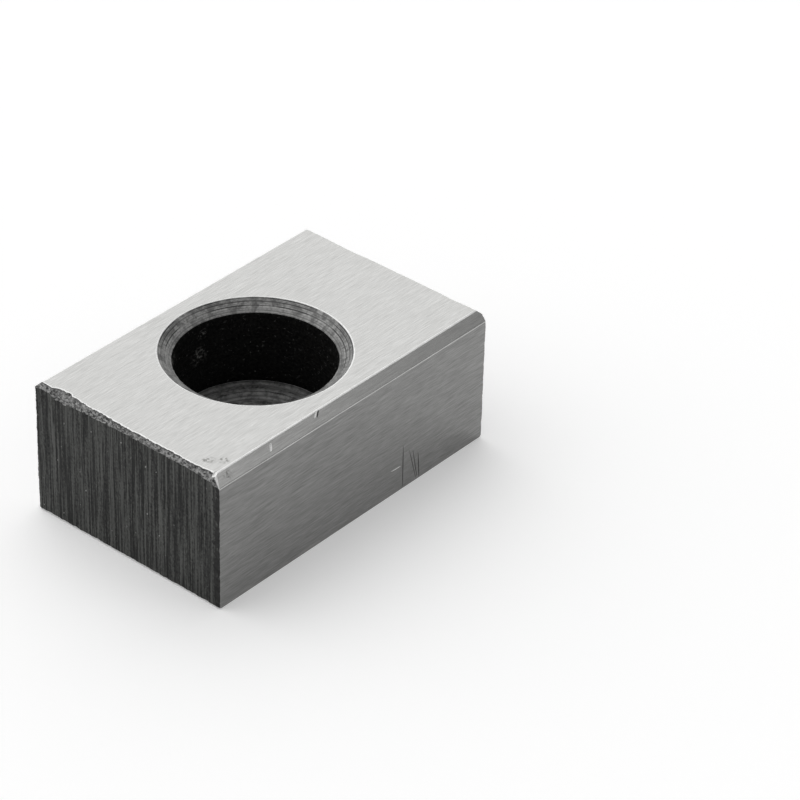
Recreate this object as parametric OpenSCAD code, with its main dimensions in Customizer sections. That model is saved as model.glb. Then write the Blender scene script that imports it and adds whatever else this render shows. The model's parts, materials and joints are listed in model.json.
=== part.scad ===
// Slot key block: one piece of ground steel with a counterbored screw hole and filed, blackened ends.
// It lies on its back face at Z = 0, with the counterbore up, and its length runs along X.
// The origin is the middle of the back face.

/* [Block] */
// Length along X, from one sawn end to the other
block_l = 28.5; // [24:0.5:60]
// Width along Y, which is the width of the table slot that the block fits
block_w = 18; // [16:0.1:40]
// Height along Z, from the back face to the ground front face
block_h = 11; // [9:0.1:25]

/* [Long edges] */
// Leg of the ground bevel along both long front edges
long_bevel = 0.75; // [0.1:0.05:0.9]

/* [Filed ends] */
// Leg of the filed flat on an end's front edge, at the middle of that edge
front_file = 0.45; // [0.2:0.05:1.5]
// Leg of the filed flat on an end's two upright edges, at the middle of the edge
side_file = 0.4; // [0.2:0.05:1.5]
// Leg of the filed flat on an end's back edge, at the middle of that edge
back_file = 0.35; // [0.2:0.05:1.5]
// Angle by which the file strayed, which makes each flat wider at one end
file_stray = 1; // [0:0.1:1.2]

/* [Screw bore] */
// Diameter of the hole that the screw's thread passes through
hole_d = 8; // [4:0.1:11]
// Diameter of the counterbore that takes the screw's head
head_bore_d = 12; // [9:0.1:13.5]
// Depth of the counterbore's wall, from the front face
head_bore_depth = 6.7; // [3:0.1:8]
// Slope of the counterbore's floor, which the drill's point left
floor_slope = 20; // [0:1:30]
// Width of the turned bevel round the counterbore's mouth
mouth_w = 1; // [0.2:0.1:1.2]
// Depth of the turned bevel round the counterbore's mouth
mouth_depth = 0.75; // [0.2:0.05:2]
// Distance of the bore from the middle of the length, towards the end at -X
bore_offset = 0.75; // [0:0.05:1.5]

/* [Hidden] */
$fn = 96;
steel_grey = [0.80, 0.80, 0.79];
hole_r = hole_d / 2;
head_bore_r = head_bore_d / 2;
mouth_r = head_bore_r + mouth_w;
floor_outer_z = block_h - head_bore_depth;
floor_inner_z = floor_outer_z - (head_bore_r - hole_r) * tan(floor_slope);
mouth_z = block_h - mouth_depth;
// How far a cutting shape runs past the face that it cuts through
overrun = 1;
cutter = 2 * max(block_l, block_w, block_h);
// Each filed edge of an end: its turn about X, its distance from the end's middle, its leg and its stray
FILED_EDGES = [
    [0, block_h / 2, front_file, -file_stray],
    [90, block_w / 2, side_file, file_stray],
    [180, block_h / 2, back_file, -file_stray],
    [270, block_w / 2, side_file, file_stray],
];

// The ground bar, as its outline across the width, drawn out along X
module ground_bar() {
    half_w = block_w / 2;
    outline = [
        [-half_w, 0],
        [half_w, 0],
        [half_w, block_h - long_bevel],
        [half_w - long_bevel, block_h],
        [-half_w + long_bevel, block_h],
        [-half_w, block_h - long_bevel],
    ];
    translate([-block_l / 2, 0, 0])
        rotate([90, 0, 90])
            linear_extrude(block_l)
                polygon(outline);
}

// What a file takes off an edge that runs along Y through the origin, with the steel at +X and -Z
module filed_flat(leg, stray) {
    rotate([0, 0, stray])
        rotate([0, -45, 0])
            translate([-cutter / 2, -cutter / 2, -leg / sqrt(2)])
                cube(cutter);
}

// The four filed edges of the end at -X
module filed_edges() {
    translate([-block_l / 2, 0, block_h / 2])
        for (edge = FILED_EDGES)
            rotate([edge[0], 0, 0])
                translate([0, 0, edge[1]])
                    filed_flat(edge[2], edge[3]);
}

// Everything the drill and the countersink take out: hole, sloping floor, counterbore and turned mouth
module screw_bore() {
    profile = [
        [0, -overrun],
        [hole_r, -overrun],
        [hole_r, floor_inner_z],
        [head_bore_r, floor_outer_z],
        [head_bore_r, mouth_z],
        [mouth_r, block_h],
        [mouth_r, block_h + overrun],
        [0, block_h + overrun],
    ];
    translate([-bore_offset, 0, 0])
        rotate_extrude()
            polygon(profile);
}

module key_block() {
    color(steel_grey)
        difference() {
            ground_bar();
            filed_edges();
            rotate([0, 0, 180])
                filed_edges();
            screw_bore();
        }
}

key_block();
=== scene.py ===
import json
import math

import bmesh
import bpy
from mathutils import Matrix, Vector


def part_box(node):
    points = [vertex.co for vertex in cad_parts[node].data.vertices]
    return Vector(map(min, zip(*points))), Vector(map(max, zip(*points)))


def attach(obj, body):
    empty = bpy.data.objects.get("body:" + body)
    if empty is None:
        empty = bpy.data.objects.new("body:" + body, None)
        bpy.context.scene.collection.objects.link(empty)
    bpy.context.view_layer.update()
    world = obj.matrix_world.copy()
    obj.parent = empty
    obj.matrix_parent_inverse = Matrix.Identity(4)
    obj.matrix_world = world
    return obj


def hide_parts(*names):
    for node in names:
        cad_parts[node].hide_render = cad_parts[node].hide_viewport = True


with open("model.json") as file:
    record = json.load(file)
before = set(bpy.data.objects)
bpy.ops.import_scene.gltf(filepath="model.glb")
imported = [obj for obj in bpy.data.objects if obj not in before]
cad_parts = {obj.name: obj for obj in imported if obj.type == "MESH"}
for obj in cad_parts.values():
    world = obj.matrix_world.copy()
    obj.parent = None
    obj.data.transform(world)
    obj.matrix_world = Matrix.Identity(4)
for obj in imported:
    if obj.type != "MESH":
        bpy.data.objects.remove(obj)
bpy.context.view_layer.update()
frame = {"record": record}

# The block is modelled in millimetres and brought to metres when it is whole.
MM = 0.001
LOW, HIGH = (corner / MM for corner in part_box("key_block"))
LENGTH, WIDTH, HEIGHT = HIGH - LOW
MOUNTS = {mount["name"]: mount for mount in frame["record"]["mounts"]}
BORE_X = MOUNTS["head_counterbore"]["pos_m"][0] / MM
BORE_R = MOUNTS["head_counterbore"]["dims"]["r_mm"]
HOLE_R = MOUNTS["screw_hole"]["dims"]["r_mm"]

ALONG_X = Vector((1, 0, 0))
ALONG_Y = Vector((0, 1, 0))
ALONG_Z = Vector((0, 0, 1))

# Cutters reach this far past the block.
OVERRUN = 1.0
# Vertices closer than this are one.
MERGE_GAP = 0.0005
# An edge or a face counts as lying on a side of the block from this far off.
NEARNESS = 0.1

FINISHES = (
    "ground_face",
    "ground_flank",
    "rubbed_edge",
    "burnished",
    "scored_line",
    "sawn_end",
    "filed_flat",
    "blackened_flat",
    "turned_mouth",
    "bored_wall",
    "drilled_floor",
    "drilled_hole",
)


def deselect():
    """Leaves nothing selected, because an operator acts on all that is."""
    bpy.ops.object.select_all(action="DESELECT")


def pick_only(piece):
    """Makes one object the only selected one, and the active one."""
    deselect()
    piece.select_set(True)
    bpy.context.view_layer.objects.active = piece


def last_made(name):
    """Names the object that the last operator added."""
    piece = bpy.context.view_layer.objects.active
    piece.name = name
    piece.data.name = name
    return piece


def apply_place(piece):
    """Writes an object's place, turn and scale into its mesh."""
    pick_only(piece)
    bpy.ops.object.transform_apply(location=True, rotation=True, scale=True)


def middle(edge):
    """The middle of an edge."""
    return sum((v.co for v in edge.verts), Vector()) / len(edge.verts)


def select_where(piece, kind, wanted):
    """In edit mode, selects the vertices or edges that pass a test."""
    bpy.ops.mesh.select_mode(type=kind)
    bpy.ops.mesh.select_all(action="DESELECT")
    mesh = bmesh.from_edit_mesh(piece.data)
    parts = {"VERT": mesh.verts, "EDGE": mesh.edges}[kind]
    for part in parts:
        if wanted(part):
            part.select_set(True)
    mesh.select_flush_mode()
    bmesh.update_edit_mesh(piece.data)


def give_finishes(piece):
    """Gives a piece every finish, in one fixed order of slots."""
    for finish in FINISHES:
        piece.data.materials.append(bpy.data.materials[finish])


def paint(piece, choose):
    """Gives each face the finish that choose names from its middle and its normal."""
    for face in piece.data.polygons:
        face.material_index = FINISHES.index(choose(face.center, face.normal))


def face_out(piece):
    """Turns every face of a closed shell outwards, after its doubles are merged."""
    pick_only(piece)
    bpy.ops.object.mode_set(mode="EDIT")
    bpy.ops.mesh.select_all(action="SELECT")
    bpy.ops.mesh.remove_doubles(threshold=MERGE_GAP)
    bpy.ops.mesh.normals_make_consistent(inside=False)
    bpy.ops.object.mode_set(mode="OBJECT")


def roughen(piece, size, depth, direction, seed_shift, group=""):
    """Moves a piece's vertices by soft lumps of a size and depth in millimetres."""
    lumps = bpy.data.textures.new(piece.name + "_lumps", "CLOUDS")
    lumps.noise_scale = size
    lumps.noise_depth = 2
    place = bpy.data.objects.new(piece.name + "_lumps_place", None)
    bpy.context.collection.objects.link(place)
    place.location = (seed_shift, seed_shift * 0.7, seed_shift * 1.3)
    bpy.context.view_layer.update()
    pick_only(piece)
    shift = piece.modifiers.new("lumps", "DISPLACE")
    shift.texture = lumps
    shift.texture_coords = "OBJECT"
    shift.texture_coords_object = place
    shift.direction = direction
    shift.strength = depth
    shift.mid_level = 0.5
    shift.vertex_group = group
    bpy.ops.object.modifier_apply(modifier=shift.name)
    bpy.data.objects.remove(place)
    bpy.data.textures.remove(lumps)


def thicken(cutter, step):
    """Makes a sheet a solid that reaches a step away from it."""
    bpy.ops.object.mode_set(mode="EDIT")
    bpy.ops.mesh.select_all(action="SELECT")
    bpy.ops.mesh.extrude_region_move(TRANSFORM_OT_translate={"value": step})
    bpy.ops.object.mode_set(mode="OBJECT")


def stand_at(cutter, point, x_way, y_way, z_way):
    """Turns a cutter so that its axes point three ways, and moves it to a point."""
    turn = Matrix((x_way, y_way, z_way)).transposed().to_4x4()
    cutter.matrix_world = Matrix.Translation(point) @ turn
    apply_place(cutter)


def close_and_paint(cutter, finish):
    """Closes a cutter's shell and gives it one finish all over."""
    face_out(cutter)
    give_finishes(cutter)
    paint(cutter, lambda centre, normal: finish)


def subtract(block, cutter):
    """Cuts a closed shell out of the block, which keeps the cutter's finish on the cut.

    The exact solver's result can differ by a few tiny faces from one run of this script to the next.
    """
    pick_only(block)
    cut = block.modifiers.new("cut", "BOOLEAN")
    cut.operation = "DIFFERENCE"
    cut.solver = "EXACT"
    cut.material_mode = "TRANSFER"
    cut.object = cutter
    bpy.ops.object.modifier_apply(modifier=cut.name)
    bpy.data.objects.remove(cutter)


# Ground bar: the leg of its two upper bevels, and how far the edges above and below them are broken
LONG_BEVEL = 0.75
# The cut of the far end's filed flat fails with an upper break of 0.08 or 0.085, and holds with 0.09 or 0.1.
UPPER_BREAK = 0.09
LOWER_BREAK = 0.06
# The upward part of a face's normal on a bevel and, at the least, on a level face, and the margin on it
BEVEL_RISE = math.sqrt(0.5)
LEVEL_RISE = 0.99
RISE_MARGIN = 0.02


def on_upper_long_edge(edge):
    """Whether an edge of the plain bar is one of the two that are bevelled."""
    spot = middle(edge)
    return spot.z > HEIGHT - NEARNESS and abs(spot.y) > WIDTH / 2 - NEARNESS


def runs_lengthwise(edge):
    """Whether an edge runs from one end of the bar to the other."""
    return abs(edge.verts[0].co.x - edge.verts[1].co.x) > LENGTH / 2


def break_long_edges(bar):
    """Takes the sharpness off the bar's lengthwise edges, more above the middle of the bevels than below."""
    split = HEIGHT - LONG_BEVEL / 2
    select_where(bar, "EDGE", lambda e: runs_lengthwise(e) and middle(e).z > split)
    bpy.ops.mesh.bevel(offset=UPPER_BREAK, segments=2, affect="EDGES")
    select_where(bar, "EDGE", lambda e: runs_lengthwise(e) and middle(e).z < split)
    bpy.ops.mesh.bevel(offset=LOWER_BREAK, segments=2, affect="EDGES")


def bar_finish(centre, normal):
    """The finish of the bar by the way a face looks: the breaks beside its upper face are rubbed, and
    painted near white as a painted highlight.
    """
    if BEVEL_RISE + RISE_MARGIN < normal.z < LEVEL_RISE:
        return "rubbed_edge"
    # The upright sides take the ground steel painted darker, as painted shade.
    if abs(normal.z) < RISE_MARGIN:
        return "ground_flank"
    return "ground_face"


def ground_bar():
    """The bar as ground: a long block with its two upper long edges bevelled and all of them broken."""
    deselect()
    bpy.ops.mesh.primitive_cube_add(size=1, location=(LOW + HIGH) / 2, scale=(LENGTH, WIDTH, HEIGHT))
    bar = last_made("key_block_body")
    apply_place(bar)
    bpy.ops.object.mode_set(mode="EDIT")
    select_where(bar, "EDGE", on_upper_long_edge)
    bpy.ops.mesh.bevel(offset=LONG_BEVEL, segments=1, affect="EDGES")
    break_long_edges(bar)
    bpy.ops.object.mode_set(mode="OBJECT")
    give_finishes(bar)
    paint(bar, bar_finish)
    return bar


# Scratches and nicks: the two ends of each, the way its face looks, its width and its finish
NEAR_SIDE = Vector((0, -1, 0))
NEAR_BEVEL = Vector((0, -1, 1)).normalized()
# The near-white marks on the bevel are rubbed and partly a painted highlight; the dark scored ones are
# painted shade in their grooves.
SCRATCHES = (
    ((5.2, -9, 3.9), (5.25, -9, 0.1), NEAR_SIDE, 0.10, "scored_line"),
    ((5.9, -9, 3.1), (6.75, -9, 0.1), NEAR_SIDE, 0.07, "scored_line"),
    ((6.3, -9, 2.9), (6.86, -9, 0.2), NEAR_SIDE, 0.08, "scored_line"),
    ((6.9, -9, 2.4), (7.1, -9, 0.0), NEAR_SIDE, 0.10, "scored_line"),
    ((3.9, -9, 2.2), (5.0, -9, 2.15), NEAR_SIDE, 0.06, "burnished"),
    ((-8.37, -8.42, 10.83), (-8.77, -8.77, 10.48), NEAR_BEVEL, 0.2, "rubbed_edge"),
    ((-3.5, -8.28, 10.97), (-4.0, -8.53, 10.72), NEAR_BEVEL, 0.12, "rubbed_edge"),
    ((-3.3, -8.28, 10.97), (-3.8, -8.58, 10.67), NEAR_BEVEL, 0.10, "scored_line"),
)
# How deep a scratch is, as a share of its width
SCRATCH_DEPTH = 0.25


def scratch(start, stop, outward, width, finish):
    """A cutter like a four-sided spindle, which leaves a groove that runs out at both ends."""
    start = Vector(start)
    stop = Vector(stop)
    along = (stop - start).normalized()
    deselect()
    bpy.ops.mesh.primitive_uv_sphere_add(segments=4, ring_count=6, radius=0.5)
    cutter = last_made("scratch")
    cutter.scale = (width, 2 * width * SCRATCH_DEPTH, (stop - start).length)
    apply_place(cutter)
    stand_at(cutter, (start + stop) / 2, outward.cross(along), outward, along)
    close_and_paint(cutter, finish)
    return cutter


# Sawn ends: the grid's steps across and up, and how much taller than wide the grooves are
SAW_PITCH = 0.065
SAW_ROWS = 26
SAW_STRETCH = 22
# The grooves' width, depth and shift, the same for the broader waves under them, and how deep both sink
SAW_GROOVE = (0.16, 0.05, 3.1)
SAW_WAVE = (0.5, 0.03, 8.3)
SAW_SINK = 0.0275


def sawn_end(sign):
    """A cutter that leaves an end with the fine upright grooves of a saw."""
    reach_y = WIDTH + 2 * OVERRUN
    reach_z = HEIGHT + 2 * OVERRUN
    deselect()
    bpy.ops.mesh.primitive_grid_add(
        x_subdivisions=SAW_ROWS,
        y_subdivisions=round(reach_y / SAW_PITCH),
        size=1,
        rotation=(0, math.pi / 2, 0),
    )
    cutter = last_made("sawn_end")
    cutter.scale = (reach_z / SAW_STRETCH, reach_y, 1)
    apply_place(cutter)
    for width, depth, seed_shift in (SAW_GROOVE, SAW_WAVE):
        roughen(cutter, width, depth, "X", seed_shift + sign)
    cutter.scale.z = SAW_STRETCH
    cutter.location = (sign * (LENGTH / 2 - SAW_SINK), 0, HEIGHT / 2)
    apply_place(cutter)
    thicken(cutter, (sign * OVERRUN, 0, 0))
    close_and_paint(cutter, "sawn_end")
    return cutter


# Filed flats: the grid's step and its width across the edge
FILE_PITCH = 0.07
FILE_SLOPE = 1.9
# The sheet is squeezed to this share across the edge while it gets its waves, so that they run across it.
FILE_DRAG = 0.15
# The size, depth and shift of the file's waves, of its lumps and of its grit
FILE_WAVE = (0.5, 0.1, 2.9)
FILE_LUMP = (0.28, 0.08, 0.0)
FILE_GRIT = (0.09, 0.05, 5.7)

# Strokes that went deeper: the place of each along the edge, its reach, its depth and its falloff
NEAR_STROKES = (
    (6.3, 0.85, 0.17, "SPHERE"),
    (5.2, 1.7, 0.12, "SMOOTH"),
    (2.8, 2.0, 0.06, "SMOOTH"),
    (-7.9, 2.0, 0.1, "SMOOTH"),
    (-4.4, 1.2, 0.03, "SMOOTH"),
    (8.6, 0.8, 0.06, "SMOOTH"),
)
FAR_STROKES = (
    (4.0, 2.5, 0.1, "SMOOTH"),
    (-6.0, 1.6, 0.08, "SMOOTH"),
)


def filed_sheet(length, strokes, depth_share):
    """A flat grid as long as an edge, pressed down where the strokes went deeper."""
    deselect()
    bpy.ops.mesh.primitive_grid_add(
        x_subdivisions=round((length + OVERRUN) / FILE_PITCH),
        y_subdivisions=round(FILE_SLOPE / FILE_PITCH),
        size=1,
    )
    sheet = last_made("filed_flat")
    sheet.scale = (length + OVERRUN, FILE_SLOPE, 1)
    apply_place(sheet)
    bpy.ops.object.mode_set(mode="EDIT")
    for place, reach, depth, falloff in strokes:
        select_where(sheet, "VERT", lambda v: abs(v.co.x - place) < FILE_PITCH)
        bpy.ops.transform.translate(
            value=(0, 0, -depth * depth_share),
            use_proportional_edit=True,
            proportional_edit_falloff=falloff,
            proportional_size=reach,
        )
    bpy.ops.object.mode_set(mode="OBJECT")
    return sheet


def roughen_as_filed(sheet, depth_share, seed_shift):
    """Gives a sheet the file's waves, which run across the edge, then its lumps and its grit."""
    size, depth, own_shift = FILE_WAVE
    sheet.scale.y = FILE_DRAG
    apply_place(sheet)
    roughen(sheet, size, depth * depth_share, "Z", seed_shift + own_shift)
    sheet.scale.y = 1 / FILE_DRAG
    apply_place(sheet)
    for size, depth, own_shift in (FILE_LUMP, FILE_GRIT):
        roughen(sheet, size, depth * depth_share, "Z", seed_shift + own_shift)


def filed_flat(end, side, legs, seed_shift, finish, strokes=(), depth_share=1.0):
    """A cutter for the rough flat that a file leaves along one edge of an end.

    end and side point out of the two faces that meet at the edge. The legs are the flat's reach
    on the long face and on the end.
    """
    face_leg, end_leg = legs
    along, length, half = (ALONG_Y, WIDTH, HEIGHT / 2) if side.z else (ALONG_Z, HEIGHT, WIDTH / 2)
    corner = Vector((end.x * LENGTH / 2, 0, HEIGHT / 2)) + side * half
    outward = (end / face_leg + side / end_leg).normalized()
    inset = 1 / math.hypot(1 / face_leg, 1 / end_leg)
    cutter = filed_sheet(length, strokes, depth_share)
    roughen_as_filed(cutter, depth_share, seed_shift)
    thicken(cutter, (0, 0, OVERRUN))
    stand_at(cutter, corner - outward * inset, along, outward.cross(along), outward)
    close_and_paint(cutter, finish)
    return cutter


# The upper flat's two legs, and the shift of its waves
FRONT_LEG = 0.36
FRONT_SHIFT = 11
# The burr is a narrow rubbed facet beside the upper flat, painted near white as a painted highlight, which
# lies BURR_TILT degrees below the upper face.
BURR_TILT = 14
NEAR_BURR_W = 0.075
FAR_BURR_W = 0.03
# The burr's waves are lower than the flat's, so that both move the same way along the upper face.
BURR_SHARE = math.sin(math.radians(BURR_TILT)) / math.sin(math.radians(45))
# How deep the waves and strokes of each upper flat are, as a share
NEAR_SHARE = 1.0
FAR_SHARE = 0.5
# The other flats round an end: the way the long face looks, the two legs and the shift of the waves
BLACKENED_FLATS = (
    (-ALONG_Z, (0.25, 0.2), 17),
    (-ALONG_Y, (0.07, 0.6), 23),
    (ALONG_Y, (0.4, 0.48), 29),
)


def file_upper_edge(block, sign, strokes, burr, share):
    """Files the upper edge of an end: first its burr with the painted highlight, then the rough flat."""
    end = ALONG_X * sign
    burr_leg = FRONT_LEG + burr
    burr_legs = (burr_leg, burr_leg * math.tan(math.radians(BURR_TILT)))
    shift = FRONT_SHIFT + sign
    subtract(block, filed_flat(end, ALONG_Z, burr_legs, shift, "rubbed_edge", strokes, share * BURR_SHARE))
    subtract(block, filed_flat(end, ALONG_Z, (FRONT_LEG, FRONT_LEG), shift, "filed_flat", strokes, share))


def file_other_edges(block, sign):
    """Files the lower edge and the two upright edges of an end."""
    for side, legs, shift in BLACKENED_FLATS:
        subtract(block, filed_flat(ALONG_X * sign, side, legs, shift + sign, "blackened_flat"))


# Worn facets at the near corner: the size and shift of their lumps, then the length, the width and
# the relief of each, and the way that two of them look
WORN_LUMP = 0.2
WORN_SHIFT = 33
BRUISE_SIZE = (1.1, 1.0, 0.12)
BRUISE_LOOKS = Vector((-0.8, -0.12, 0.5))
LINE_SIZE = (1.15, 0.6, 0.004)
CHIP_SIZE = (0.4, 0.6, 0.01)
CHIP_LOOKS = Vector((-0.45, 0.1, 0.88))
# The line where the near bevel meets the filed edge, rubbed and painted near white as a painted highlight:
# its width on the bevel and its lean in degrees
LINE_W = 0.06
LINE_LEAN = 25
# The places that the corner is measured from: the block's end, the upper face's edge and the bevel's foot
CORNER_X = -LENGTH / 2
CORNER_Y = -WIDTH / 2 + LONG_BEVEL
CORNER_Z = HEIGHT - LONG_BEVEL


def worn_facet(point, outward, along, size, finish):
    """A cutter that leaves a small facet through a point, which looks outward."""
    length, width, relief = size
    outward = outward.normalized()
    across = outward.cross(along).normalized()
    deselect()
    bpy.ops.mesh.primitive_grid_add(
        x_subdivisions=round(length / FILE_PITCH),
        y_subdivisions=round(width / FILE_PITCH),
        size=1,
    )
    cutter = last_made("worn_facet")
    cutter.scale = (length, width, 1)
    apply_place(cutter)
    roughen(cutter, WORN_LUMP, relief, "Z", WORN_SHIFT)
    thicken(cutter, (0, 0, OVERRUN))
    stand_at(cutter, point, across.cross(outward), across, outward)
    close_and_paint(cutter, finish)
    return cutter


def bevel_line():
    """The cutter for the line down the end of the near bevel, which gets the painted highlight."""
    top = Vector((CORNER_X + 0.5, CORNER_Y, HEIGHT))
    foot = Vector((CORNER_X + 0.02, -WIDTH / 2, CORNER_Z))
    down = (foot - top).normalized()
    inward = NEAR_BEVEL.cross(down)
    inward = inward if inward.x > 0 else -inward
    lean = math.radians(LINE_LEAN)
    looks = NEAR_BEVEL * math.cos(lean) - inward * math.sin(lean)
    spot = (top + foot) / 2 + inward * LINE_W
    return worn_facet(spot, looks, down, LINE_SIZE, "rubbed_edge")


def wear_near_corner(block):
    """Rubs off the corner at -X and -Y: a rough bruise, then the line and the chip, both rubbed and painted
    near white as a painted highlight.
    """
    bruise = Vector((CORNER_X + 0.05, CORNER_Y - 0.3, CORNER_Z + 0.15))
    subtract(block, worn_facet(bruise, BRUISE_LOOKS, ALONG_Y, BRUISE_SIZE, "filed_flat"))
    subtract(block, bevel_line())
    chip = Vector((CORNER_X + 0.42, CORNER_Y - 0.02, HEIGHT - 0.14))
    subtract(block, worn_facet(chip, CHIP_LOOKS, ALONG_Y, CHIP_SIZE, "rubbed_edge"))


def file_near_end(block):
    """Files the end at -X, which is the rougher one, and wears its corner."""
    file_upper_edge(block, -1, NEAR_STROKES, NEAR_BURR_W, NEAR_SHARE)
    file_other_edges(block, -1)
    wear_near_corner(block)


def file_far_end(block):
    """Files the end at +X."""
    file_upper_edge(block, 1, FAR_STROKES, FAR_BURR_W, FAR_SHARE)
    file_other_edges(block, 1)


# Screw bore: the turned bevel round its mouth, and its heights above the back face
MOUTH_W = 1.0
MOUTH_DEPTH = 0.75
MOUTH_Z = HEIGHT - MOUTH_DEPTH
FLOOR_OUTER_Z = 4.3
FLOOR_INNER_Z = MOUNTS["screw_hole"]["dims"]["length_mm"]
# The rim round the mouth, rubbed and painted near white as a painted highlight: its width past the bevel and
# its drop
RIM_W = 0.1
RIM_DROP = 0.02
# The corners of the bore's outline, from above the block to below it, as radius and height
BORE_OUTLINE = (
    (0, HEIGHT + OVERRUN),
    (BORE_R + MOUTH_W + RIM_W, HEIGHT + OVERRUN),
    (BORE_R + MOUTH_W + RIM_W, HEIGHT),
    (BORE_R + MOUTH_W, HEIGHT - RIM_DROP),
    (BORE_R, MOUTH_Z),
    (BORE_R, FLOOR_OUTER_Z),
    (HOLE_R, FLOOR_INNER_Z),
    (HOLE_R, LOW.z - OVERRUN),
    (0, LOW.z - OVERRUN),
)
# Tool rings: the bottom and top of each stretch of the outline, and the number of cuts in each of its edges
RING_CUTS = (
    (HEIGHT - 0.8, HEIGHT - 0.01, 11),
    (FLOOR_OUTER_Z - 0.1, HEIGHT - 0.7, 44),
    (FLOOR_INNER_Z - 0.1, FLOOR_OUTER_Z + 0.1, 20),
    (-1.1, FLOOR_INNER_Z + 0.1, 30),
)
# How far the rings stray, again with the bottom and top of each stretch, and the seed of that
RING_STRAYS = (
    (-OVERRUN + 0.1, MOUTH_Z - 0.01, 0.035),
    (MOUTH_Z + 0.01, HEIGHT - 0.06, 0.012),
)
RING_SEED = 4
# The outline's corners on the bore's axis lie nearer to it than this, and all the others further off.
OFF_AXIS = 1
BORE_STEPS = 200
# Soft lumps: the name of each stretch, its bottom and top, and the lumps' size, depth and shift
BORE_LUMPS = (
    ("wall", -OVERRUN / 2, MOUTH_Z + 0.05, 0.35, 0.07, 2.2),
    ("mouth", MOUTH_Z, HEIGHT + 0.5, 0.6, 0.03, 6.2),
)
# The bored wall starts this far above the floor and inside its own radius, and the floor this far outside
# the hole.
FLOOR_MARGIN = 0.02
WALL_MARGIN = 0.2
HOLE_MARGIN = 0.06


def draw_outline():
    """In edit mode, draws the bore's outline from one vertex, corner by corner."""
    bpy.ops.mesh.merge(type="CENTER")
    radius, height = BORE_OUTLINE[0]
    bpy.ops.transform.translate(value=(radius, 0, height))
    for start, stop in zip(BORE_OUTLINE, BORE_OUTLINE[1:]):
        step = (stop[0] - start[0], 0, stop[1] - start[1])
        bpy.ops.mesh.extrude_region_move(TRANSFORM_OT_translate={"value": step})


def cut_tool_rings(cutter):
    """In edit mode, cuts the outline into small steps and moves each a little in or out."""
    for bottom, top, cuts in RING_CUTS:
        inside = lambda e: all(bottom < v.co.z < top for v in e.verts) and middle(e).x > OFF_AXIS
        select_where(cutter, "EDGE", inside)
        bpy.ops.mesh.subdivide(number_cuts=cuts)
    for bottom, top, stray in RING_STRAYS:
        select_where(cutter, "VERT", lambda v: v.co.x > OFF_AXIS and bottom < v.co.z < top)
        bpy.ops.transform.vertex_random(offset=stray, uniform=1.0, normal=0.0, seed=RING_SEED)
    bpy.ops.mesh.select_all(action="SELECT")
    bpy.ops.transform.resize(value=(1, 0, 1), center_override=(0, 0, 0))


def bore_cutter():
    """A cutter shaped like the bore's tools: its outline is drawn, ringed and spun round."""
    deselect()
    bpy.ops.mesh.primitive_plane_add(size=1)
    cutter = last_made("screw_bore")
    bpy.ops.object.mode_set(mode="EDIT")
    draw_outline()
    cut_tool_rings(cutter)
    bpy.ops.mesh.select_all(action="SELECT")
    bpy.ops.mesh.spin(steps=BORE_STEPS, angle=2 * math.pi, center=(0, 0, 0), axis=(0, 0, 1))
    bpy.ops.object.mode_set(mode="OBJECT")
    face_out(cutter)
    return cutter


def bore_finish(centre, normal):
    """The finish of the bore at a place on its wall."""
    radius = math.hypot(centre.x - BORE_X, centre.y)
    # The rim gets the rubbed finish, painted near white as a painted highlight.
    if centre.z > HEIGHT - RIM_DROP:
        return "rubbed_edge"
    if centre.z > MOUTH_Z:
        return "turned_mouth"
    if centre.z > FLOOR_OUTER_Z + FLOOR_MARGIN and radius > BORE_R - WALL_MARGIN:
        return "bored_wall"
    if radius > HOLE_R + HOLE_MARGIN:
        return "drilled_floor"
    return "drilled_hole"


def screw_bore():
    """The bore's cutter, roughened, in its place and painted by tool mark."""
    cutter = bore_cutter()
    for name, bottom, top, size, depth, seed_shift in BORE_LUMPS:
        stretch = cutter.vertex_groups.new(name=name)
        within = [v.index for v in cutter.data.vertices if bottom < v.co.z < top]
        stretch.add(within, 1.0, "REPLACE")
        roughen(cutter, size, depth, "NORMAL", seed_shift, group=name)
    cutter.location.x = BORE_X
    apply_place(cutter)
    give_finishes(cutter)
    paint(cutter, bore_finish)
    return cutter


# Edges between rough faces stay smooth up to this angle, in degrees.
SMOOTH_ANGLE = 40


def close_seams(block):
    """Draws together the few specks along a seam between two cuts where more than two faces meet."""
    pick_only(block)
    bpy.ops.object.mode_set(mode="EDIT")
    bpy.ops.mesh.select_mode(type="VERT")
    bpy.ops.mesh.select_all(action="DESELECT")
    bpy.ops.mesh.select_non_manifold()
    bpy.ops.mesh.merge(type="COLLAPSE")
    bpy.ops.object.mode_set(mode="OBJECT")


def smooth_where_rough(block):
    """Keeps the ground faces flat and smooths the rough ones up to a sharp angle."""
    pick_only(block)
    bpy.ops.object.shade_smooth_by_angle(angle=math.radians(SMOOTH_ANGLE))
    flat = (FINISHES.index("ground_face"), FINISHES.index("ground_flank"))
    for face in block.data.polygons:
        if face.material_index in flat:
            face.use_smooth = False


def key_block():
    """The whole block: ground bar with its scratches, sawn ends, filed edges and screw bore."""
    block = ground_bar()
    for mark in SCRATCHES:
        subtract(block, scratch(*mark))
    for sign in (-1, 1):
        subtract(block, sawn_end(sign))
    file_near_end(block)
    file_far_end(block)
    subtract(block, screw_bore())
    close_seams(block)
    block.scale = (MM, MM, MM)
    apply_place(block)
    smooth_where_rough(block)
    return block


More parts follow.
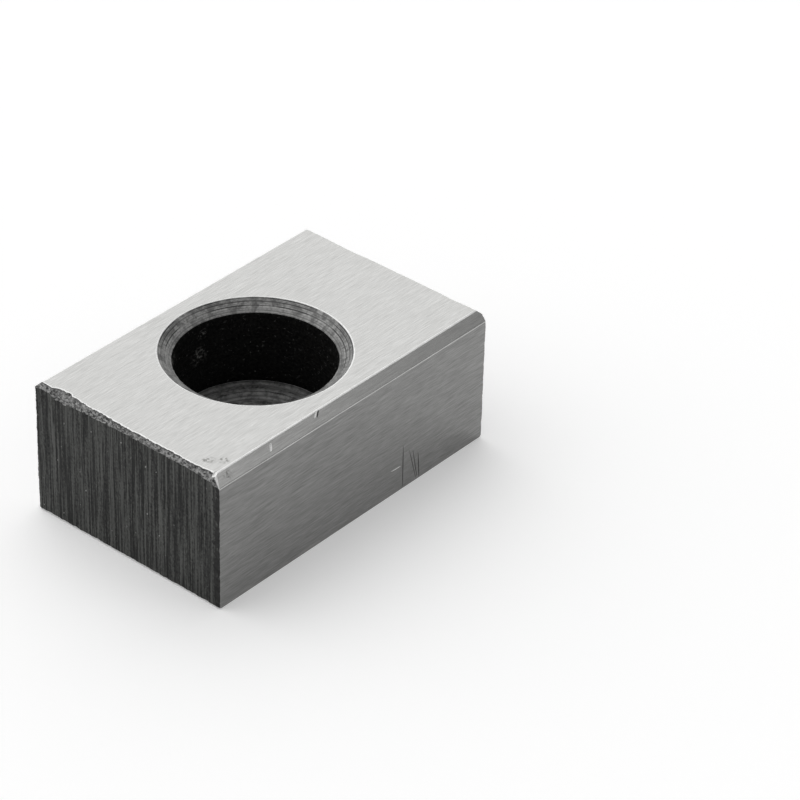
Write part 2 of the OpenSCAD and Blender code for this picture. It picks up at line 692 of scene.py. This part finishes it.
class Finish:
    """A material and the few nodes that every finish starts from. Its patterns are in millimetres."""

    def __init__(self, name):
        self.material = bpy.data.materials.new(name)
        self.material.use_nodes = True
        self.nodes = self.material.node_tree.nodes
        self.links = self.material.node_tree.links
        self.shader = self.nodes["Principled BSDF"]
        self.place = self.nodes.new("ShaderNodeTexCoord").outputs["Object"]
        self.bumps = None

    def set(self, **values):
        """Sets sockets of the shader that are the same all over the surface."""
        for name, value in values.items():
            self.shader.inputs[name.replace("_", " ")].default_value = value

    def feed(self, name, source):
        """Leads a pattern into a socket of the shader."""
        self.join(source, self.shader.inputs[name])

    def node(self, kind, **settings):
        """Adds a node with some of its settings."""
        made = self.nodes.new(kind)
        for name, value in settings.items():
            setattr(made, name, value)
        return made

    def join(self, source, target):
        """Links an output to an input."""
        self.links.new(source, target)

    def stretched(self, scale, shift=(0, 0, 0), turn=(0, 0, 0)):
        """Object coordinates with so many pattern cells per millimetre along each axis."""
        mapping = self.node("ShaderNodeMapping")
        mapping.inputs["Scale"].default_value = [s / MM for s in scale]
        mapping.inputs["Location"].default_value = shift
        mapping.inputs["Rotation"].default_value = [math.radians(t) for t in turn]
        self.join(self.place, mapping.inputs["Vector"])
        return mapping.outputs["Vector"]

    def noise(self, scale, detail=2.0, rough=0.5, shift=(0, 0, 0), turn=(0, 0, 0)):
        """Cloudy noise, finer along an axis where the scale is larger."""
        cells = self.node("ShaderNodeTexNoise")
        cells.inputs["Scale"].default_value = 1
        cells.inputs["Detail"].default_value = detail
        cells.inputs["Roughness"].default_value = rough
        self.join(self.stretched(scale, shift, turn), cells.inputs["Vector"])
        return cells.outputs["Fac"]

    def rings(self, radius, scale, detail):
        """Noise that changes with the distance from the bore's axis alone."""
        cells = self.node("ShaderNodeTexNoise", noise_dimensions="1D")
        cells.inputs["Scale"].default_value = scale
        cells.inputs["Detail"].default_value = detail
        self.join(radius, cells.inputs["W"])
        return cells.outputs["Fac"]

    def remap(self, value, low, high, to_low=0.0, to_high=1.0):
        """Spreads a pattern's values from one range over another, and cuts them off there."""
        ramp = self.node("ShaderNodeMapRange")
        ramp.inputs["From Min"].default_value = low
        ramp.inputs["From Max"].default_value = high
        ramp.inputs["To Min"].default_value = to_low
        ramp.inputs["To Max"].default_value = to_high
        self.join(value, ramp.inputs["Value"])
        return ramp.outputs["Result"]

    def math(self, kind, first, second=0.0):
        """Does a sum with two patterns or numbers."""
        result = self.node("ShaderNodeMath", operation=kind)
        for slot, value in zip(result.inputs, (first, second)):
            if isinstance(value, (int, float)):
                slot.default_value = value
            else:
                self.join(value, slot)
        return result.outputs["Value"]

    def blend(self, first, first_share, second, second_share):
        """Adds two patterns in given shares."""
        return self.math("ADD", self.math("MULTIPLY", first, first_share),
                         self.math("MULTIPLY", second, second_share))

    def mix(self, amount, first, second):
        """Goes from a first colour to a second one as a pattern rises from 0 to 1."""
        blend = self.node("ShaderNodeMix", data_type="RGBA")
        self.join(amount, blend.inputs["Factor"])
        for slot, value in ((blend.inputs["A"], first), (blend.inputs["B"], second)):
            if isinstance(value, tuple):
                slot.default_value = (*value, 1)
            else:
                self.join(value, slot)
        return blend.outputs["Result"]

    def bump(self, height, depth):
        """Raises the surface by a height pattern of a depth in millimetres."""
        relief = self.node("ShaderNodeBump")
        relief.inputs["Strength"].default_value = 1.0
        relief.inputs["Distance"].default_value = depth * MM
        self.join(height, relief.inputs["Height"])
        if self.bumps:
            self.join(self.bumps, relief.inputs["Normal"])
        self.bumps = relief.outputs["Normal"]
        self.feed("Normal", self.bumps)

    def height(self):
        """The height above the back face, in millimetres."""
        split = self.node("ShaderNodeSeparateXYZ")
        self.join(self.stretched((1, 1, 1)), split.inputs["Vector"])
        return split.outputs["Z"]

    def near(self, point, reach):
        """One at a point of the block and nothing past a reach in millimetres."""
        gap = self.node("ShaderNodeVectorMath", operation="DISTANCE")
        gap.inputs[1].default_value = point
        self.join(self.stretched((1, 1, 1)), gap.inputs[0])
        return self.remap(gap.outputs["Value"], 0.4 * reach, reach, 1.0, 0.0)

    def from_bore(self):
        """The distance from the bore's axis, in millimetres."""
        flat = self.stretched((1, 1, 0), shift=(-BORE_X, 0, 0))
        length = self.node("ShaderNodeVectorMath", operation="LENGTH")
        self.join(flat, length.inputs[0])
        return length.outputs["Value"]


# Marks left on the ground steel: the middle of each and how far it reaches
SMUDGES = (
    ((-13.05, -6.7, 11.0), 0.35),
    ((-12.8, -6.95, 11.0), 0.45),
    ((-12.2, -7.6, 11.0), 0.5),
    ((-12.95, -8.6, 10.65), 0.45),
    ((10.58, 8.43, 11.0), 0.25),
)
SMUDGE_GREY = (0.24, 0.24, 0.23)


def ground_steel(name, dull, pale):
    """Steel with the fine lengthwise scratches of a surface grinder."""
    finish = Finish(name)
    finish.set(Metallic=1.0, Anisotropic=0.5, Anisotropic_Rotation=0.25)
    broad = finish.noise((0.25, 9.0, 9.0), detail=3.0, rough=0.6, turn=(0, 0, 0.6))
    fine = finish.noise((0.8, 20.0, 20.0), detail=2.0, rough=0.6, shift=(7, 3, 5), turn=(0, 0, -2.5))
    lines = finish.blend(broad, 0.4, fine, 0.6)
    tone = finish.mix(finish.remap(lines, 0.38, 0.62), dull, pale)
    finish.feed("Base Color", smudged(finish, tone))
    cloud = finish.noise((0.12, 0.2, 0.2), detail=2.0, shift=(2, 9, 4))
    cloud_gloss = finish.remap(cloud, 0.3, 0.7, 0.2, 0.24)
    line_gloss = finish.remap(lines, 0.35, 0.65, 0.04, -0.03)
    finish.feed("Roughness", finish.math("ADD", cloud_gloss, line_gloss))
    along = finish.node("ShaderNodeCombineXYZ")
    along.inputs["X"].default_value = 1
    finish.feed("Tangent", along.outputs["Vector"])
    finish.bump(lines, 0.004)


def smudged(finish, tone):
    """Ground steel's tone with the marks left on it."""
    patches = finish.remap(finish.noise((4.0, 4.0, 4.0), detail=3.0, shift=(6, 1, 2)), 0.45, 0.6)
    for point, reach in SMUDGES:
        smudge = finish.math("MULTIPLY", finish.near(point, reach), patches)
        tone = finish.mix(smudge, tone, SMUDGE_GREY)
    return tone


def ground_face():
    """The upper face, the back face and the bevels."""
    ground_steel("ground_face", dull=(0.46, 0.46, 0.45), pale=(0.60, 0.60, 0.59))


def ground_flank():
    """The two long sides: the same ground steel as the upper face, painted darker as painted shade for the
    dark reflections that these sides show.
    """
    ground_steel("ground_flank", dull=(0.17, 0.17, 0.167), pale=(0.28, 0.28, 0.275))


def worn_steel(finish, pattern, dark, bright, relief):
    """Feeds a finish with a tone between a dark and a bright one, and with a slight relief."""
    finish.feed("Base Color", finish.mix(finish.remap(pattern, 0.35, 0.65), dark, bright))
    finish.bump(pattern, relief)


def rubbed_edge():
    """Edges, burrs and nicks that are rubbed: a near-white colour that is partly their wear and partly a
    painted highlight, standing in for the glint of a rounded edge.
    """
    finish = Finish("rubbed_edge")
    finish.set(Metallic=0.25)
    wear = finish.noise((1.5, 4.0, 4.0), detail=2.0)
    worn_steel(finish, wear, dark=(0.84, 0.84, 0.83), bright=(0.96, 0.96, 0.95), relief=0.004)
    finish.feed("Roughness", finish.remap(wear, 0.3, 0.7, 0.3, 0.4))


def burnished():
    """The one light scratch on the near side."""
    finish = Finish("burnished")
    finish.set(Metallic=1.0, Roughness=0.4)
    wear = finish.noise((3.0, 3.0, 3.0), detail=2.0)
    worn_steel(finish, wear, dark=(0.86, 0.86, 0.85), bright=(0.98, 0.98, 0.97), relief=0.004)


def scored_line():
    """The scratches, painted dark as painted shade in their grooves."""
    finish = Finish("scored_line")
    finish.set(Metallic=0.8, Roughness=0.5)
    wear = finish.noise((3.0, 3.0, 1.0), detail=3.0)
    worn_steel(finish, wear, dark=(0.03, 0.03, 0.029), bright=(0.1, 0.1, 0.098), relief=0.01)


def sawn_end_finish():
    """Blackened steel with the saw's upright lines and a few bright specks."""
    black = (0.004, 0.0043, 0.004)
    smoke = (0.025, 0.026, 0.025)
    grey = (0.088, 0.09, 0.085)
    metal = (0.45, 0.45, 0.44)
    finish = Finish("sawn_end")
    finish.set(Metallic=0.0, Specular_IOR_Level=0.2)
    grooves = finish.noise((3.0, 5.5, 0.12), detail=3.0, rough=0.65)
    grain = finish.noise((7.0, 8.0, 5.0), detail=2.0, shift=(8, 3, 5))
    height = finish.blend(grooves, 0.7, grain, 0.3)
    tone = finish.mix(finish.remap(height, 0.42, 0.57), black, grey)
    hairlines = finish.noise((1.0, 3.4, 0.07), detail=2.0, rough=0.55, shift=(2, 6, 9))
    crossing = finish.math("ABSOLUTE", finish.math("SUBTRACT", hairlines, 0.5))
    tone = finish.mix(finish.remap(crossing, 0.035, 0.005), tone, black)
    cloud = finish.noise((1.0, 0.6, 0.3), detail=3.0, shift=(5, 2, 7))
    tone = finish.mix(finish.remap(cloud, 0.35, 0.7, 0.0, 0.3), tone, smoke)
    specks = finish.noise((3.5, 3.5, 2.2), detail=2.0, shift=(4, 8, 1))
    tone = finish.mix(finish.remap(specks, 0.73, 0.8), tone, metal)
    finish.feed("Base Color", tone)
    finish.feed("Roughness", finish.remap(grooves, 0.3, 0.7, 0.65, 0.45))
    finish.bump(height, 0.02)


def filed_flat_finish():
    """The lumpy, pitted flat on the upper edge of an end, which darkens towards the upper face."""
    dark = (0.05, 0.05, 0.049)
    light = (0.4, 0.4, 0.395)
    pit = (0.03, 0.03, 0.03)
    shadow = (0.05, 0.05, 0.05)
    finish = Finish("filed_flat")
    finish.set(Metallic=0.2, Specular_IOR_Level=0.3)
    lumps = finish.noise((6.0, 4.0, 6.0), detail=4.0, rough=0.7)
    pits = finish.noise((6.0, 4.0, 6.0), detail=3.0, rough=0.6, shift=(3, 1, 8))
    tone = finish.mix(finish.remap(lumps, 0.38, 0.62), dark, light)
    tone = finish.mix(finish.remap(pits, 0.53, 0.6), tone, pit)
    uneven_height = finish.math("ADD", finish.height(), finish.remap(pits, 0.3, 0.7, -0.03, 0.03))
    under_face = finish.remap(uneven_height, HEIGHT - 0.1, HEIGHT - 0.06, 0.0, 0.7)
    finish.feed("Base Color", finish.mix(under_face, tone, shadow))
    finish.feed("Roughness", finish.remap(lumps, 0.3, 0.7, 0.6, 0.4))
    finish.bump(lumps, 0.03)
    finish.bump(pits, -0.02)


def blackened_flat():
    """The blackened flats on the other edges of an end."""
    black = (0.003, 0.003, 0.003)
    soot = (0.018, 0.018, 0.017)
    finish = Finish("blackened_flat")
    finish.set(Metallic=0.0, Specular_IOR_Level=0.3, Roughness=0.6)
    lumps = finish.noise((3.0, 3.0, 2.0), detail=4.0, rough=0.65)
    finish.feed("Base Color", finish.mix(finish.remap(lumps, 0.4, 0.65), black, soot))
    finish.bump(lumps, 0.03)


def turned_mouth():
    """The turned bevel round the mouth: rings, blotches and a few dark scores near its outer edge."""
    dark = (0.19, 0.19, 0.187)
    light = (0.47, 0.47, 0.46)
    dull = (0.14, 0.14, 0.137)
    stain = (0.06, 0.06, 0.059)
    black = (0.03, 0.03, 0.03)
    finish = Finish("turned_mouth")
    finish.set(Metallic=0.3)
    radius = finish.from_bore()
    ring = finish.rings(radius, scale=9.0, detail=3.0)
    tone = finish.mix(finish.remap(ring, 0.35, 0.65), dark, light)
    mottle = finish.noise((5.0, 5.0, 5.0), detail=4.0, rough=0.65)
    tone = finish.mix(finish.remap(mottle, 0.42, 0.66, 0.0, 0.75), tone, dull)
    blotch = finish.noise((1.5, 1.5, 1.5), detail=3.0, rough=0.6, shift=(6, 5, 2))
    tone = finish.mix(finish.remap(blotch, 0.46, 0.6, 0.0, 0.6), tone, stain)
    finish.feed("Base Color", finish.mix(mouth_scores(finish, radius), tone, black))
    finish.feed("Roughness", finish.remap(mottle, 0.3, 0.7, 0.45, 0.6))
    finish.bump(ring, 0.02)


def mouth_scores(finish, radius):
    """One where a dark score runs round the outer part of the mouth, and nothing elsewhere."""
    scores = finish.rings(finish.math("ADD", radius, 3.3), scale=11.0, detail=1.0)
    deep = finish.remap(scores, 0.5, 0.43)
    outer = finish.remap(radius, BORE_R + 0.25 * MOUTH_W, BORE_R + 0.45 * MOUTH_W)
    worn = finish.remap(finish.noise((0.35, 0.35, 0.35), detail=1.0, shift=(4, 4, 4)), 0.4, 0.55)
    return finish.math("MULTIPLY", deep, finish.math("MULTIPLY", outer, worn))


# Bright flakes on the bored wall: the middle of each patch and how far it reaches
WALL_FLAKES = (
    ((-0.4, 5.98, 7.5), 0.9),
    ((0.1, 5.94, 9.3), 0.5),
    ((-3.9, 5.1, 9.4), 0.7),
)


def bored_wall():
    """The wall of the counterbore, painted almost black: partly its dark finish and partly painted shade
    inside the bore, with grey specks and a few patches of flakes.
    """
    black = (0.002, 0.002, 0.002)
    soot = (0.015, 0.015, 0.014)
    speck = (0.12, 0.12, 0.116)
    flake = (0.2, 0.2, 0.19)
    finish = Finish("bored_wall")
    finish.set(Metallic=0.0, Specular_IOR_Level=0.1, Roughness=0.6)
    grit = finish.noise((5.0, 5.0, 5.0), detail=4.0, rough=0.6)
    tone = finish.mix(finish.remap(grit, 0.4, 0.7), black, soot)
    specks = finish.noise((4.0, 4.0, 4.0), detail=3.0, rough=0.6, shift=(9, 2, 6))
    tone = finish.mix(finish.remap(specks, 0.62, 0.75), tone, speck)
    flakes = finish.remap(finish.noise((3.0, 3.0, 3.0), detail=4.0, rough=0.7, shift=(1, 7, 3)), 0.5, 0.6)
    for point, reach in WALL_FLAKES:
        patch = finish.math("MULTIPLY", finish.near(point, reach), flakes)
        tone = finish.mix(patch, tone, flake)
    finish.feed("Base Color", tone)
    finish.bump(grit, 0.03)


def drilled_floor():
    """The counterbore's sloping floor, with the drill's rings and dark grit."""
    dark = (0.1, 0.1, 0.098)
    light = (0.3, 0.3, 0.295)
    dirt = (0.03, 0.03, 0.03)
    finish = Finish("drilled_floor")
    finish.set(Metallic=0.2, Roughness=0.45)
    ring = finish.rings(finish.from_bore(), scale=6.0, detail=3.0)
    tone = finish.mix(finish.remap(ring, 0.35, 0.65), dark, light)
    grit = finish.noise((1.8, 1.8, 1.8), detail=5.0, rough=0.7)
    finish.feed("Base Color", finish.mix(finish.remap(grit, 0.45, 0.65, 0.0, 0.9), tone, dirt))
    finish.bump(ring, 0.02)
    finish.bump(grit, 0.02)


def drilled_hole():
    """The bare wall of the screw's hole, with the drill's rings."""
    dark = (0.12, 0.12, 0.118)
    light = (0.45, 0.45, 0.44)
    finish = Finish("drilled_hole")
    finish.set(Metallic=0.9)
    streaks = finish.noise((1.0, 1.0, 7.0), detail=4.0, rough=0.65)
    finish.feed("Base Color", finish.mix(finish.remap(streaks, 0.35, 0.65), dark, light))
    finish.feed("Roughness", finish.remap(streaks, 0.3, 0.7, 0.55, 0.35))
    finish.bump(streaks, 0.03)


# Camera, fitted to the block's edges in the 800 by 800 photograph, in millimetres and degrees
CAMERA_PLACE = (-158.478, -144.213, 153.130)
CAMERA_HEADING = -50.35
CAMERA_TILT = 55.61
CAMERA_ROLL = 1.67
CAMERA_LENS = 162.0
SENSOR = 36.0
# The nearest that the camera sees, in metres
CAMERA_NEAREST = 0.01


def camera():
    """The camera at the photograph's place and angle."""
    deselect()
    bpy.ops.object.camera_add()
    viewer = last_made("camera")
    turn = (Matrix.Rotation(math.radians(CAMERA_HEADING), 4, "Z")
            @ Matrix.Rotation(math.radians(CAMERA_TILT), 4, "X")
            @ Matrix.Rotation(math.radians(CAMERA_ROLL), 4, "Z"))
    viewer.matrix_world = Matrix.Translation(Vector(CAMERA_PLACE) * MM) @ turn
    viewer.data.lens = CAMERA_LENS
    viewer.data.sensor_fit = "HORIZONTAL"
    viewer.data.sensor_width = SENSOR
    viewer.data.clip_start = CAMERA_NEAREST
    bpy.context.scene.camera = viewer


# The floor's size and its gap below the block, in metres
FLOOR_SIZE = 3.0
FLOOR_GAP = 0.00002
PAPER = (0.95, 0.95, 0.95, 1)
WHITE = (1, 1, 1, 1)
# What the floor adds to its own tone where the camera or the metal sees it, so that it shows as white paper
PAPER_LIFT = 0.24


def pale_floor():
    """White paper, lifted only where the camera or the metal sees it, so that it lights nothing else."""
    finish = Finish("pale_floor")
    finish.set(Base_Color=PAPER, Roughness=0.9, Specular_IOR_Level=0.1, Emission_Color=WHITE)
    ray = finish.node("ShaderNodeLightPath").outputs
    seen = finish.math("MAXIMUM", ray["Is Camera Ray"], ray["Is Glossy Ray"])
    seen = finish.math("MAXIMUM", seen, ray["Is Transmission Ray"])
    finish.feed("Emission Strength", finish.math("MULTIPLY", seen, PAPER_LIFT))
    return finish.material


def floor():
    """A plain pale floor under the block."""
    deselect()
    bpy.ops.mesh.primitive_plane_add(size=FLOOR_SIZE, location=(0, 0, LOW.z * MM - FLOOR_GAP))
    ground = last_made("floor")
    apply_place(ground)
    ground.data.materials.append(pale_floor())


# A large soft light high behind the block: its place, what it faces and its size in metres, and its power
KEY_PLACE = (0.0, 0.65, 1.13)
KEY_AIM = (0, 0, 0.005)
KEY_SIZE = 1.4
KEY_POWER = 1.2


def key_light():
    """The square soft light."""
    deselect()
    bpy.ops.object.light_add(type="AREA", location=KEY_PLACE)
    lamp = last_made("key_light")
    lamp.data.shape = "SQUARE"
    lamp.data.size = KEY_SIZE
    lamp.data.energy = KEY_POWER
    lamp.rotation_euler = (Vector(KEY_AIM) - Vector(KEY_PLACE)).to_track_quat("-Z", "Y").to_euler()


# The surround's strength in front
FRONT_STRENGTH = 0.34
# Changes to it: the way each lies, the cosines of the angles from there at which it starts and is full, and
# its size. They are the brighter side behind, then a bright and a slightly dim patch in the near bevel.
SURROUND = (
    ((0.1, 0.9, 0.42), 0.05, 0.7, 0.86),
    ((0.418, -0.665, 0.635), 0.94, 0.993, 0.55),
    ((0.75, -0.48, 0.45), 0.93, 0.99, -0.14),
)


def change_of_light(nodes, links, facing, side, faint, full, change):
    """The pattern of one change to the surround, which fades in towards the way it lies."""
    toward = nodes.new("ShaderNodeVectorMath")
    toward.operation = "DOT_PRODUCT"
    toward.inputs[1].default_value = Vector(side).normalized()
    links.new(facing, toward.inputs[0])
    fade = nodes.new("ShaderNodeMapRange")
    fade.interpolation_type = "SMOOTHSTEP"
    fade.inputs["From Min"].default_value = faint
    fade.inputs["From Max"].default_value = full
    fade.inputs["To Min"].default_value = 0
    fade.inputs["To Max"].default_value = change
    links.new(toward.outputs["Value"], fade.inputs["Value"])
    return fade.outputs["Result"]


def surround():
    """A white surround that is brighter behind the block than in front of it."""
    world = bpy.data.worlds.new("surround")
    world.use_nodes = True
    nodes = world.node_tree.nodes
    links = world.node_tree.links
    backdrop = nodes["Background"]
    backdrop.inputs["Color"].default_value = WHITE
    facing = nodes.new("ShaderNodeTexCoord").outputs["Generated"]
    strength = None
    for side, faint, full, change in SURROUND:
        total = nodes.new("ShaderNodeMath")
        total.inputs[1].default_value = FRONT_STRENGTH
        links.new(change_of_light(nodes, links, facing, side, faint, full, change), total.inputs[0])
        if strength:
            links.new(strength, total.inputs[1])
        strength = total.outputs["Value"]
    links.new(strength, backdrop.inputs["Strength"])
    bpy.context.scene.world = world


MAKERS = (
    ground_face,
    ground_flank,
    rubbed_edge,
    burnished,
    scored_line,
    sawn_end_finish,
    filed_flat_finish,
    blackened_flat,
    turned_mouth,
    bored_wall,
    drilled_floor,
    drilled_hole,
)
for make_finish in MAKERS:
    make_finish()
camera()
block = key_block()
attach(block, "root")
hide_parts("key_block")
floor()
key_light()
surround()
bpy.context.scene.view_settings.view_transform = "Standard"
